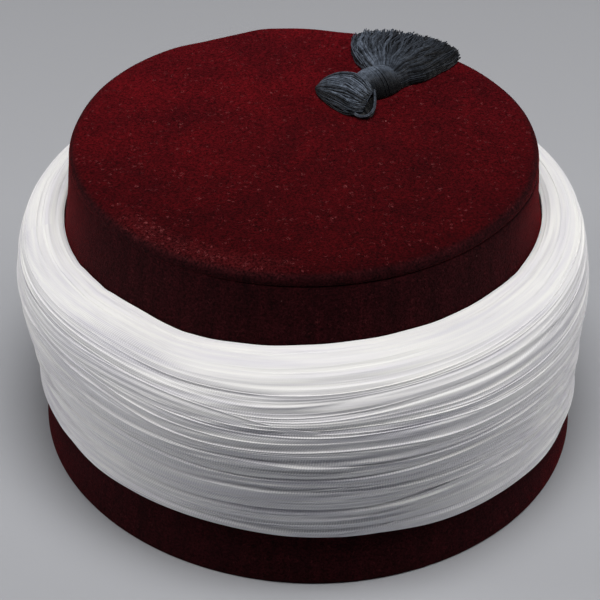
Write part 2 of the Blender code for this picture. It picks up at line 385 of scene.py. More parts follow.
def sash_points(angle, share):
    """The bed that the sash's pleats stand on, at angles and heights."""
    low, top = sash_edges(angle)
    height = low + (top - low) * share - edge_nicks(angle) * smooth_step((share - 0.93) / 0.06)
    fullness = ease_round(SASH_FULLNESS, angle)
    round_over = np.abs(2 * share ** ease_round(SASH_BELLY, angle) - 1) ** fullness
    belly = np.maximum(0, 1 - round_over) ** (1 / fullness)
    rounding = 1 - np.minimum(share / SASH_LIP_ROUNDING, 1)
    lip = SASH_LIP * (1 - share) * np.sqrt(1 - rounding ** 2)
    proud = (ease_round(SASH_THICKNESS, angle) - PLEATS_PROUD) * belly + 0.75 * lip
    return hat_points(angle, fez_radius(angle, height) + SASH_GAP + proud, height)


# Materials. A colour mix takes its share at 0 and its two colours at 6 and 7.
def velvet():
    """Cotton velvet, woven with a cut pile: deep red face on, and lighter where the pile is
    seen along its fibres. The pile clouds where it was brushed, is worn to short pale fibres
    along a part of the tip's edge, and holds curled wisps of pale lint. Painted shade: the
    side and the lower part of the tip's roll take a darker copy of the colour. Painted light:
    the top's colour grows lighter towards the back and darker towards the front."""
    material, add = new_material("cotton_velvet", {
        "Roughness": 0.95, "Specular IOR Level": 0.05, "Sheen Weight": 0.42,
        "Sheen Roughness": 0.22, "Sheen Tint": "#c01a24"})
    place = add("TexCoord", {}, "Object")
    pile = add("TexNoise", {"Vector": place, "Scale": 1 / (0.8 * MM), "Detail": 3.0,
                            "Roughness": 0.8})
    clouds = add("TexNoise", {"Vector": place, "Scale": 1 / (26 * MM), "Detail": 6.0,
                              "Roughness": 0.7, "Distortion": 0.6})
    # Painted light: the top's colour grows lighter towards the back and darker towards the front
    depth = add("SeparateXYZ", {"Vector": place}, "Y")
    painted_light_to_back = add("MapRange", {"Value": depth, "From Min": -80 * MM, "From Max": 85 * MM,
                             "To Min": 0.52, "To Max": 1.74})
    brushed = add("MapRange", {"Value": clouds, "From Min": 0.32, "From Max": 0.74})
    tufts = add("MapRange", {"Value": pile, "From Min": 0.34, "From Max": 0.66})
    flat = add("Mix", {0: brushed, 6: "#320408", 7: "#4a060b"}, data_type="RGBA")
    top_colour_with_painted_light = add("Mix", {0: 1.0, 6: flat, 7: painted_light_to_back}, data_type="RGBA", blend_type="MULTIPLY")
    # Painted shade: the side and the roll's lower part take this darker, streaked copy of the colour, less
    # saturated as painted bounce light from the white sash
    falling = add("Mapping", {"Vector": place,
                              "Scale": (1 / (4 * MM), 1 / (4 * MM), 1 / (40 * MM))})
    streaks = add("TexNoise", {"Vector": falling, "Scale": 1.0, "Detail": 3.0, "Roughness": 0.6})
    painted_side_shade_colour = add("Mix", {0: streaks, 6: "#100506", 7: "#350e12"}, data_type="RGBA")
    lie = add("Attribute", {}, "Fac", attribute_name="pile_down")
    cloth = add("Mix", {0: lie, 6: top_colour_with_painted_light, 7: painted_side_shade_colour}, data_type="RGBA")
    shade = add("Mix", {0: tufts, 6: (0.26, 0.26, 0.26, 1), 7: (1.74, 1.74, 1.74, 1)},
                data_type="RGBA")
    tone = add("Mix", {0: 1.0, 6: cloth, 7: shade}, data_type="RGBA", blend_type="MULTIPLY")
    # Lint and worn fibres are drawn as short stretches of the curved lines along which a
    # noise has its middle value, 0.12 mm wide, where cells of a second pattern let them show
    # Lint shows less on the side's painted shade
    kept = add("Math", {0: lie, 1: -0.7, 2: 1.0}, operation="MULTIPLY_ADD")
    wear = add("Attribute", {}, "Fac", attribute_name="worn")
    for curl, line, cell, reach, keep, worn_adds, colour in (
            (1.3, 0.036, 2.1, 0.42, 0.66, 0.0, "#62282b"),
            (1.1, 0.042, 2.2, 0.46, 0.95, 0.55, "#6e3234"),
            (1.1, 0.050, 5.0, 0.07, 0.88, 0.0, "#b47f7b")):
        bends = add("TexNoise", {"Vector": place, "Scale": 1 / (curl * MM), "Detail": 0.5,
                                 "Distortion": 0.6})
        off = add("Math", {0: bends, 1: 0.5}, operation="SUBTRACT")
        far = add("Math", {0: off}, operation="ABSOLUTE")
        cells = add("TexVoronoi", {"Vector": place, "Scale": 1 / (cell * MM)})
        thin, short = (add("MapRange", {"Value": away, "From Min": limit * full,
                                        "From Max": limit, "To Min": 1.0, "To Max": 0.0})
                       for away, limit, full in ((far, line, 0.4), (cells, reach, 0.7)))
        chance = add("SeparateColor", {"Color": cells.node.outputs["Color"]})
        likely = add("Math", {0: wear, 1: worn_adds, 2: chance}, operation="MULTIPLY_ADD")
        shows = add("Math", {0: likely, 1: keep}, operation="GREATER_THAN")
        for share in (kept, thin, short):
            shows = add("Math", {0: shows, 1: share}, operation="MULTIPLY")
        tone = add("Mix", {0: shows, 6: tone, 7: colour}, data_type="RGBA")
    rubbed = add("MapRange", {"Value": pile, "From Min": 0.42, "From Max": 0.62,
                              "To Min": 0.0, "To Max": 0.22})
    bare = add("Math", {0: wear, 1: rubbed}, operation="MULTIPLY")
    tone = add("Mix", {0: bare, 6: tone, 7: "#6a2a2c"}, data_type="RGBA")
    bump = add("Bump", {"Height": pile, "Strength": 0.6, "Distance": 0.5 * MM})
    cover(material, {"Base Color": tone, "Normal": bump})
    return material


def velvet_back():
    """The woven back of the velvet inside the hat: matt dark red cotton threads."""
    material, add = new_material("velvet_cotton_back", {
        "Roughness": 0.95, "Specular IOR Level": 0.2})
    place = add("TexCoord", {}, "Object")
    threads = add("TexNoise", {"Vector": place, "Scale": 1 / (0.7 * MM), "Detail": 2.0})
    cloth = add("Mix", {0: threads, 6: "#3a0a0e", 7: "#571419"}, data_type="RGBA")
    bump = add("Bump", {"Height": threads, "Strength": 0.5, "Distance": 0.3 * MM})
    cover(material, {"Base Color": cloth, "Normal": bump})
    return material


def muslin():
    """Bleached cotton muslin, plain woven and pleated by hand: a soft bright white whose
    threads show as fine slanting ribs, with hair-fine pleats along the cloth."""
    material, add = new_material("cotton_muslin", {
        "Roughness": 0.9, "Specular IOR Level": 0.2, "Sheen Weight": 0.1, "Sheen Roughness": 0.5})
    cloth = add("UVMap", {}, uv_map="cloth")
    # Threads lie 0.25 mm apart, too fine to show, so the ribs are drawn 0.75 mm apart, and
    # stronger in patches where the cloth was pulled on the slant
    slant = add("Mapping", {"Vector": cloth, "Rotation": (0, 0, radians(-32))})
    ribs = add("TexWave", {"Vector": slant, "Scale": pi / (10 * 0.75 * MM), "Distortion": 0.5,
                           "Detail": 2.0, "Detail Scale": 1.5}, "Fac")
    spread = add("Mapping", {"Vector": cloth, "Scale": (1 / (40 * MM), 1 / (10 * MM), 1)})
    patches = add("TexNoise", {"Vector": spread, "Scale": 1.0, "Detail": 3.0})
    tugged = add("MapRange", {"Value": patches, "From Min": 0.36, "From Max": 0.62,
                              "To Min": 0.3, "To Max": 1.0})
    slanted = add("Attribute", {}, "Fac", attribute_name="ribs")
    pulled = add("Math", {0: tugged, 1: slanted}, operation="MULTIPLY")
    # Hair-fine pleats and the creases between them run along the cloth. The creases are also darkened in
    # the colour, as painted shade.
    heights = []
    for length, apart, deep in ((26, 0.9, 0.30), (55, 2.4, 0.70)):
        along = add("Mapping", {"Vector": cloth, "Scale": (1 / (length * MM), 1 / (apart * MM), 1)})
        hairs = add("TexNoise", {"Vector": along, "Scale": 1.0, "Detail": 2.0,
                                 "Roughness": 0.5, "Distortion": 0.1})
        heights.append(add("Math", {0: hairs, 1: deep}, operation="MULTIPLY"))
    creases = add("Math", {0: heights[0], 1: heights[1]}, operation="ADD")
    painted_crease_shade = add("MapRange", {"Value": creases, "From Min": 0.36, "From Max": 0.62})
    cotton = add("Mix", {0: painted_crease_shade, 6: "#dfdee3", 7: "#efefed"}, data_type="RGBA")
    between = add("Math", {0: ribs, 1: pulled}, operation="MULTIPLY")
    tone = add("Mix", {0: between, 6: cotton, 7: "#dfdfe4"}, data_type="RGBA",
               blend_type="MULTIPLY")
    fine = add("Bump", {"Height": creases, "Strength": 0.64, "Distance": 0.45 * MM})
    woven = add("Bump", {"Height": ribs, "Strength": pulled, "Distance": 0.045 * MM,
                         "Normal": fine}, invert=True)
    cover(material, {"Base Color": tone, "Normal": woven})
    return material


def rayon():
    """Twisted rayon thread, dyed blue-black: smooth filaments that shine along the thread,
    and threads dyed a little differently. The tone of each thread also holds painted light
    and shade, and painted highlights broken along it."""
    material, add = new_material("rayon_thread", {
        "Roughness": 0.42, "Specular IOR Level": 0.12, "Sheen Weight": 0.03})
    thread = add("UVMap", {}, uv_map="cloth")
    # Two plies twist round each other once in 1.2 mm
    twist = add("Mapping", {"Vector": thread, "Scale": (2.0, 1 / (1.2 * MM), 1)})
    plies = add("TexWave", {"Vector": twist, "Scale": pi / 10, "Distortion": 0.4}, "Fac",
                bands_direction="DIAGONAL")
    given = add("Attribute", {}, "Fac", attribute_name="dye")
    # Painted highlights: each thread is lighter and darker in random patches along it, like broken glints
    place = add("TexCoord", {}, "Object")
    patchy = add("TexNoise", {"Vector": place, "Scale": 1 / (1.6 * MM), "Detail": 2.0})
    broken_highlight_patches = add("MapRange", {"Value": patchy, "From Min": 0.36, "From Max": 0.64,
                              "To Min": 0.55, "To Max": 1.2})
    took = add("Math", {0: given, 1: broken_highlight_patches}, operation="MULTIPLY")
    dye = add("Mix", {0: took, 6: "#060709", 7: "#6b7584"}, data_type="RGBA")
    bump = add("Bump", {"Height": plies, "Strength": 0.4, "Distance": 0.12 * MM})
    cover(material, {"Base Color": dye, "Normal": bump})
    return material


def studio_paper():
    """Matt background paper, pale grey."""
    return new_material("background_paper", {"Base Color": "#acaeb3", "Roughness": 0.9})[0]


# The velvet
def seam_drawn(angle):
    """How deep the seam is drawn, 0 to 1: more at the front and right than at the left."""
    return 0.04 + 0.96 * smooth_step((np.cos(angle - DEEP_SEAM_SIDE) + 0.1) / 0.9)


def uneven(phases, angle, along, first):
    """The slight waves of the velvet at a place along it, all round the hat."""
    waves = (np.cos(along * (i + 1) + rise) * np.cos((i + first) * angle + turn)
             for i, (rise, turn) in enumerate(phases))
    return sum(waves) * VELVET_WAVES


def build_side(cloth, back):
    """The side of the fez, with its hollow: velvet outside, the cloth's back inside."""
    angle = VELVET_ANGLES
    phases = np.random.default_rng(11).uniform(0, 2 * pi, (6, 2))
    top = SEAM_HEIGHT
    # Height and inset of each row: the rounded rim, the outside, the seam and the inside
    rows = [(RIM_ROUNDING * (1 - cos(t)), RIM_ROUNDING * (1 - sin(t)))
            for t in np.linspace(0, pi / 2, 6)]
    rows += [(h, 0.0) for h in np.linspace(3 * MM, top - 2.0 * MM, 46)]
    rows += [(top - 1.0 * MM, 0.03 * MM), (top - 0.4 * MM, 0.15 * MM), (top, 0.7 * MM)]
    outside = len(rows)
    rows += [(top, WALL)] + [(h, WALL) for h in np.linspace(top - 3 * MM, RIM_ROUNDING, 12)]
    rows += [(0.3 * RIM_ROUNDING, WALL - 0.3 * RIM_ROUNDING), (0.0, WALL - RIM_ROUNDING)]
    points = []
    for k, (height, inset) in enumerate(rows):
        if 3 < k < outside:
            drawn = seam_drawn(angle) if height > top - 1.1 * MM else 1
            inset = inset * drawn - uneven(phases, angle, height * 35, 2)
            near_seam = smooth_step(1 - (top - height) / (2.5 * MM))
            inset = inset + STITCH_PULL * np.cos(angle * STITCHES) * near_seam
        outside_at = fez_radius(angle, height) + edge_out(angle, height)
        points.append(hat_points(angle, outside_at - inset, height))
    # All of the side takes the painted shade colour
    side = make_mesh("velvet_side", points, ring_faces(len(rows), AROUND_VELVET), cloth, 70,
                     pile_down=np.ones((len(rows), AROUND_VELVET)))
    show_back(side, back, slice((outside - 1) * AROUND_VELVET, None))
    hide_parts("fez_side")


def build_tip(cloth, back):
    """The tip: a stiff disc whose edge rolls down to the seam, soft and a little uneven."""
    angle = VELVET_ANGLES
    phases = np.random.default_rng(12).uniform(0, 2 * pi, (7, 2))
    foot = SEAM_HEIGHT + 0.05 * MM
    crown = TIP_HEIGHT - TIP_SWELL
    base = fez_radius(angle, SEAM_HEIGHT) + edge_out(angle, SEAM_HEIGHT)
    drawn = seam_drawn(angle)
    # The front of the edge, a little to the left, is the most worn
    facing = smooth_step((np.cos(angle - WORN_SIDE) - 0.86) / 0.12)
    points, worn, lies = [], [], []

    def ring(radius, height, wear=0, lie=0):
        made = hat_points(angle, radius, SEAM_HEIGHT)
        made[:, 2] = height
        points.append(made)
        worn.append(facing * wear)
        lies.append(lie + 0 * angle)

    # The roll, from inside the seam up and in to the flat
    rings = [(0.9 * MM, foot), (0.25 * MM, foot + 0.1 * MM)]
    for turn in np.linspace(0.10, pi / 2, 12):
        inset = ROLL_WIDTH * (1 - cos(turn)) - ROLL_BULGE * sin(2 * turn)
        rings.append((inset, foot + (crown - foot) * sin(turn)))
    for inset, height in rings:
        low = smooth_step(1 - (height - foot) / (2.2 * MM))
        stitch = STITCH_PULL * np.cos(angle * STITCHES) * low * drawn
        inset = inset * (1 - low * (1 - drawn))
        # The roll's lower part takes the side's painted shade colour
        risen = (height - foot) / (crown - foot)
        ring(base - inset - stitch, height, smooth_step((risen - 0.5) / 0.4),
             smooth_step((1 - risen) / 0.3))
    for share in np.concatenate([[0.985, 0.965, 0.94, 0.91, 0.87], np.linspace(0.82, 0.02, 14)]):
        swell = TIP_SWELL * (1 - share ** 2) + uneven(phases, angle, share * 5, 0) * share
        ring((base - ROLL_WIDTH) * share, crown + swell, smooth_step((share - 0.90) / 0.08))
    # Its underside, seen from inside the hat
    lid = (len(points) - 1) * AROUND_VELVET + np.arange(AROUND_VELVET)
    for share in (0.02, 0.5, 0.93):
        ring(base * share, SEAM_HEIGHT + 0.15 * MM)
    # Nothing joins the middles of the two sides: one face closes each of them
    faces = np.delete(ring_faces(len(points), AROUND_VELVET), lid, axis=0).tolist()
    faces += [(lid[::-1] + AROUND_VELVET).tolist(), lid.tolist()]
    tip = make_mesh("velvet_tip", points, faces, cloth, 70, worn=worn, pile_down=lies)
    show_back(tip, back, slice(lid[0], -1))
    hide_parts("fez_tip")


# The sash
def ribs_show(angle, down):
    """How strongly the ribs show at angles and distances down the cloth, 0.1 to 1."""
    start = read_round(RIBS_FROM, angle) * MM
    return 0.1 + 0.9 * smooth_step((down - start[:, None]) / (9 * MM))


class SashForm:
    """The sash's outer form measured along the cloth, from its top edge down."""

    def __init__(self, angle):
        self.share = 0.5 + 0.5 * np.cos(np.linspace(0, pi, 500))
        self.grid = sash_points(angle[:, None], self.share[None, :])
        self.down = run_lengths(self.grid)
        self.length = self.down[:, -1]
        beside = sash_points(angle[:, None] + 1e-3, self.share[None, :]) - self.grid
        self.normal = unit(np.cross(np.gradient(self.grid, axis=1), beside))

    def down_of(self, shares):
        """How far down the cloth a height lies at each angle."""
        return np.array([np.interp(-share, -self.share, down)
                         for share, down in zip(shares, self.down)])

    def points(self, down, out):
        """Points at distances down the cloth and out from it, an array of column by row."""
        found = np.empty(down.shape + (3,))
        for i, at in enumerate(self.down):
            for axis in range(3):
                along = np.interp(down[i], at, self.grid[i, :, axis])
                away = np.interp(down[i], at, self.normal[i, :, axis])
                found[i, :, axis] = along + away * out[i]
        return found


def way_round(angle, way):
    """A way round the hat, given as angle and height, at every angle and softened."""
    frequency = np.fft.rfftfreq(len(angle), 360 / len(angle))
    soft = np.exp(-2 * (pi * frequency * TURNS_SOFTENED) ** 2)
    return np.fft.irfft(np.fft.rfft(read_round(way, angle)) * soft, len(angle))


def wander(rng, angle, slow, fast):
    """A smooth random wave round the hat, about -1 to 1, with slow to fast swings a turn."""
    total = np.zeros_like(angle)
    for n in range(slow, fast + 1):
        total += sqrt(slow / n) * np.sin(n * angle + rng.uniform(0, 2 * pi))
    return total / max(np.abs(total).max(), 1e-9)


def sash_piece(name, cloth, points, faces, uvs, ribs):
    """A piece of the wound muslin."""
    piece = make_mesh(name, points, faces, cloth, 75, uvs, ribs=ribs)
    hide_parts("turban_sash")


def plan_pleats(rng, angle, form):
    """The main turns' edges down the cloth, those of all pleats, and each pleat's rise, how
    crisply it is folded, the slant of its weave and whether a main turn starts with it."""
    mains = np.array([0 * angle] + [form.down_of(way_round(angle, way)) for _, _, way in TURNS]
                     + [form.length])
    edges, pleats = [], []
    for k, (lift, number) in enumerate([TOP_TURN] + [turn[:2] for turn in TURNS]):
        parts = np.array([rng.uniform(0.6, 1.5) * np.exp(0.5 * wander(rng, angle, 1, 6))
                          for _ in range(number)])
        shares = (np.cumsum(parts, 0) - parts) / parts.sum(0)
        for j, share in enumerate(shares):
            edges.append(mains[k] + (mains[k + 1] - mains[k]) * share)
            ripple = 0.5 + 0.5 * wander(rng, angle, 1 if j == 0 else 2, 8 if j == 0 else 15)
            pressed = 0.5 + 0.5 * wander(rng, angle, 1, 7)
            if j == 0:
                rise = lift * (0.55 + 0.45 * ripple)
                crisp = (0.05 + 0.36 * pressed) * (0.85 if k < 6 else 0.6)
            else:
                # Every other pleat is a small one; they stand lower on the smooth shoulder
                small = rng.uniform(0.8, 1.2) * (0.85 if j % 2 == 0 else 0.42)
                small *= np.interp(k, [0, 4, 7, 10], [0.35, 0.50, 0.78, 1.1])
                rise = small * (0.05 + 0.95 * ripple ** 1.2)
                crisp = 0.28 * pressed ** 2
            pleats.append((rise * MM, crisp, rng.uniform(-0.5, 0.5), j == 0))
    edges = np.array(edges + [form.length])
    for edge in edges[1:-1]:
        edge += 0.12 * MM * wander(rng, angle, 7, 24)
    return mains, np.sort(edges, axis=0), pleats


def fold_pleats(rng, angle, mains, edges, pleats):
    """Points across the pleats, as distances down the cloth and out from it."""
    down, out, share_of_face = [], [], []
    for edge, next_edge, (rise, crisp, _, is_main) in zip(edges, edges[1:], pleats):
        width = next_edge - edge
        rise = np.minimum(rise, (0.55 if is_main else 0.30) * width + 0.04 * MM)
        for row, (crisp_row, soft_row) in enumerate(PLEAT_SECTION):
            by_lift, by_width, by_out = (s + (c - s) * crisp for c, s in zip(crisp_row, soft_row))
            down.append(edge + by_lift * np.minimum(rise, 0.6 * width) + by_width * width)
            out.append(by_out * rise)
            share_of_face.append((0.25, 0.65)[row] if is_main and row < 2 else 1.0)
    down, out = np.array(down).T, np.array(out).T
    proud_by = 1 + 0.35 * wander(rng, angle, 2, 7)
    # Each main turn stands out most at its folded edge, and its face falls back to the next
    for i in range(AROUND_SASH):
        place = np.interp(down[i], mains[:, i], np.arange(len(mains)))
        proud = np.interp(place, [0, 4, 7, 9], [0.12, 0.20, 0.40, 0.60]) * proud_by[i]
        out[i] += proud * MM * np.cos(pi / 2 * (place % 1)) * np.array(share_of_face)
    return down, out


def crease(rng, angle, form, down):
    """How far out creases and grooves move points that lie down the cloth."""
    # Soft creases that run a little askew of the pleats, weaker on the smooth shoulder
    askew = np.zeros_like(down)
    for _ in range(26):
        apart = rng.uniform(1.9, 5.5) * MM
        turns, swell, phase, swing = rng.integers(-5, 6), rng.integers(1, 6), *rng.uniform(0, 6.28, 2)
        run = np.sin(2 * pi * down / apart + (turns * angle + phase)[:, None])
        askew += run * (0.5 + 0.5 * np.sin(swell * angle + swing))[:, None] * apart / (3.5 * MM)
    out = CREASE * askew * (0.35 + 0.65 * smooth_step((down - 12 * MM) / (16 * MM)))
    degrees = np.degrees(angle)
    for depth, above, below, way in GROOVES:
        at, heights = zip(*way)
        fade = smooth_step(np.minimum(degrees - at[0], at[-1] - degrees) / 9 + 0.2)
        past = down - form.down_of(np.interp(degrees, at, heights))[:, None]
        wide = np.where(past < 0, above, below) * MM
        out -= depth * MM * fade[:, None] * np.exp(-(past / wide) ** 2)
    return out


def build_turns(cloth):
    """The wound turns: pleats that lie over each other, each with a folded upper edge."""
    rng = np.random.default_rng(21)
    angle = np.linspace(-pi, pi, AROUND_SASH, endpoint=False)
    form = SashForm(angle)
    length = form.length[:, None]
    mains, edges, pleats = plan_pleats(rng, angle, form)
    down, out = fold_pleats(rng, angle, mains, edges, pleats)
    out += crease(rng, angle, form, down)
    down = np.clip(down, 0, length)
    fade = smooth_step(np.minimum(down, length - down) / (2 * MM))
    rows = form.points(down, out * (0.25 + 0.75 * fade)).transpose(1, 0, 2)

    # Two more rows at the top and two at the bottom lie hidden against the velvet
    half = len(pleats) // 2 * len(PLEAT_SECTION)
    low, high = sash_edges(angle)
    hidden = [hat_points(angle, fez_radius(angle, level) + SASH_GAP, level)
              for level in ((low + high) / 2, high - 1.5 * MM, low + 0.4 * MM, (low + high) / 2)]
    rows = np.concatenate([hidden[:2], rows, hidden[2:]])
    fall = np.pad(down.T, ((2, 2), (0, 0)), "edge")
    slant = np.pad(np.repeat([slant for _, _, slant, _ in pleats], len(PLEAT_SECTION)), 2, "edge")
    for name, first_row, end_row in (("sash_upper_turns", 0, half + 4),
                                     ("sash_lower_turns", half + 2, len(rows))):
        row, column = (corners[:, ::-1] for corners in quads(end_row - first_row - 1, AROUND_SASH))
        faces = row * AROUND_SASH + column % AROUND_SASH
        row = row + first_row
        fallen = fall[row, column % AROUND_SASH]
        along = column * (2 * pi / AROUND_SASH) * SASH_RADIUS
        uvs = np.stack([along + fallen * slant[row], fallen], -1)
        ribs = ribs_show(angle, fall[first_row:end_row].T).T
        sash_piece(name, cloth, rows[first_row:end_row], faces, uvs, ribs)


def build_laps(cloth):
    """Laps of the same cloth that cross over the turns and are tucked in at both ends."""
    rng = np.random.default_rng(31)
    # Across a lap: its hidden upper tuck, its pressed edge, its face and its hidden lower edge
    face = np.linspace(0.1, 0.9, 17)
    across = np.array([0.12, 0.05, 0.0, 0.0, 0.02, 0.05, *face, 1.0])
    level = np.array([-0.7, 0.3, 0.6, 0.9, 1.0, 0.97, *(0.92 - 0.55 * face[:-1] ** 1.6), 0.1, -0.5])
    parts, start = [], 0
    for width_mm, lift_mm, way in LAPS:
        at, height = zip(*way)
        steps = int((at[-1] - at[0]) / 0.75) + 1
        degrees = np.linspace(at[0], at[-1], steps)
        angle = np.radians(degrees)
        form = SashForm(angle)
        # Softened, as if it ran straight on beyond both ends
        height = np.interp(degrees, at, height)
        run = np.arange(14)
        before = np.polyval(np.polyfit(run, height[:14], 1), run - 14)
        after = np.polyval(np.polyfit(run, height[-14:], 1), run + 14)
        edge = form.down_of(soften(height, before, after, 5.5))[:, None]
        near_end = np.minimum(degrees - at[0], at[-1] - degrees)
        taper = smooth_step(near_end / 6.0)[:, None]
        width = width_mm * MM * (0.16 + 0.84 * smooth_step(near_end / (0.4 * (at[-1] - at[0]))))
        past = across * width[:, None]
        out = (level * lift_mm + 1.0) * MM * taper - 1.0 * MM
        for _ in range(5):
            apart, phase, turns = rng.uniform(1.8, 4.0) * MM, rng.uniform(0, 6.28), rng.uniform(-6, 6)
            run = np.sin(2 * pi * past / apart + turns * angle[:, None] + phase)
            out[:, 5:-2] += CREASE * (run * taper)[:, 5:-2]
        down = edge + past
        row, column = quads(steps - 1, len(across) - 1)
        fallen = down[row, column]
        parts.append((form.points(np.clip(down, 0, form.length[:, None]), out).reshape(-1, 3),
                      start + row * len(across) + column,
                      np.stack([angle[row] * SASH_RADIUS + 0.4 * fallen, fallen], -1),
                      ribs_show(angle, down).ravel()))
        start += down.size
    sash_piece("sash_crossing_laps", cloth, *(np.concatenate(part) for part in zip(*parts)))


# The tassel
# The fringe's outline: radius in mm, its right and left edge in degrees, and height in mm
SKIRT = (
    (3.0, -56, 57, 5.6), (8.5, -24, 60, 6.8), (13.0, -14, 69, 7.2), (19.0, -12.5, 73, 6.6),
    (25.0, -7.0, 73, 5.5), (31.0, -3.0, 70, 4.3), (34.5, -0.5, 68, 3.4), (38.0, 3.0, 67, 2.6),
)
# How far the fringe reaches: direction in degrees, and mm
REACH = ((-5, 38.6), (2, 39.4), (9, 39.0), (20, 38.6), (46, 38.6), (55, 38.4), (61, 37.6), (68, 37.4))
# The looped head between its edge on the velvet and its edge at the binding, each as place
# along, and x, y, z in mm
HEAD_EDGE = (
    (0.0, -17.4, 10.6, 1.5), (0.2, -18.3, 6.0, 0.9), (0.45, -18.5, -0.5, 0.9),
    (0.7, -17.6, -6.8, 1.0), (0.88, -15.4, -10.6, 1.3), (1.0, -12.6, -11.4, 1.6),
)
HEAD_TUCK = (
    (0.0, -16.9, 10.6, 2.4), (0.2, -12.6, 11.0, 4.0), (0.4, -8.0, 8.8, 5.2),
    (0.6, -4.8, 4.0, 6.2), (0.8, -4.4, -1.5, 6.2), (1.0, -4.2, -5.8, 4.4),
)
# The corner loop, from under the head round the corner and back under the binding
CORNER_LOOP = (
    (0.0, -15.0, -9.0, 1.6), (0.15, -15.2, -11.6, 1.3), (0.30, -14.2, -13.6, 1.4),
    (0.45, -12.2, -14.7, 1.9), (0.62, -9.4, -13.6, 2.8), (0.77, -7.2, -11.0, 3.6),
    (0.90, -5.0, -7.6, 4.0), (1.0, -3.2, -4.8, 4.0),
)


def eased(table, at):
    """Columns of a table, smooth between its rows, at places along it."""
    fine = np.linspace(0, 1, 81)
    places, *columns = zip(*table)
    values = []
    for column in columns:
        plain = np.interp(fine, places, column)
        before = 2 * plain[0] - plain[12:0:-1]
        after = 2 * plain[-1] - plain[-2:-14:-1]
        values.append(np.interp(at, fine, soften(plain, before, after, 4.0)))
    return np.stack(values, -1)


def strands(rng, locks, threads, steps, twist):
    """Threads gathered in locks. For each thread and step its place across all the locks, 0
    to 1, and how far up it lies on its lock, 0 to 1; and for each thread its lock."""
    wide = rng.uniform(0.7, 1.3, locks)
    ends = np.concatenate([[0], np.cumsum(wide) / wide.sum()])
    lock = np.repeat(np.arange(locks), threads)
    middle, half = (ends[lock] + ends[lock + 1]) / 2, (ends[lock + 1] - ends[lock]) / 2
    lean = np.tile(np.linspace(-0.46, 0.46, threads) * pi, locks) + rng.normal(0, 0.07, len(lock))
    turns = 0.8 * np.linspace(0, 1, steps) + rng.uniform(0, 1, locks)[lock][:, None]
    lean = lean[:, None] + twist * np.sin(2 * pi * turns)
    return middle[:, None] + half[:, None] * np.sin(lean), np.cos(lean), lock


def tubes(paths, radius, sides):
    """Points, faces, thread coordinates and end faces of tubes along paths, an array of path
    by step."""
    count, steps, _ = paths.shape
    ahead = unit(np.gradient(paths, axis=1))
    side = unit(np.cross(ahead, [0.12, 0.05, 1.0]))
    over = np.cross(side, ahead)
    turn = np.arange(sides) * 2 * pi / sides
    radius = np.broadcast_to(radius, (count, steps))[:, :, None, None]
    around = side[:, :, None] * np.cos(turn)[:, None] + over[:, :, None] * np.sin(turn)[:, None]
    points = paths[:, :, None] + around * radius
    path = np.arange(count)[:, None, None]
    step, corner = (corners[:, [0, 3, 2, 1]] for corners in quads(steps - 1, sides))
    faces = (path * steps + step) * sides + corner % sides
    along = run_lengths(paths)[path, step]
    uvs = np.stack([corner / sides + 0 * along, along], -1)
    first = np.arange(count)[:, None] * steps * sides + np.arange(sides)
    ends = np.concatenate([first[:, ::-1], first + (steps - 1) * sides])
    return points.reshape(-1, 3), faces.reshape(-1, 4), uvs.reshape(-1, 2), ends


def thread_piece(name, bundles, thread, place, node):
    """One piece from bundles of threads, each of paths, radius, sides and each thread's tone: its dye with
    painted light and shade.
    """
    points, faces, uvs, dyes, start = [], [], [], [], 0
    for paths, radius, sides, dye in bundles:
        made, walls, coordinates, ends = tubes(paths, radius, sides)
        points.append(made)
        faces += (walls + start).tolist() + (ends + start).tolist()
        uvs += [coordinates, np.zeros((ends.size, 2))]
        dye = np.atleast_2d(np.asarray(dye).T).T
        dyes.append(np.repeat(np.broadcast_to(dye, paths.shape[:2]).ravel(), sides))
        start += len(made)
    placed = np.concatenate(points) @ np.array(place.to_3x3()).T + np.array(place.translation)
    piece = make_mesh(name, placed, faces, thread, 80, np.concatenate(uvs),
                      dye=np.concatenate(dyes))
    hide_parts(node)


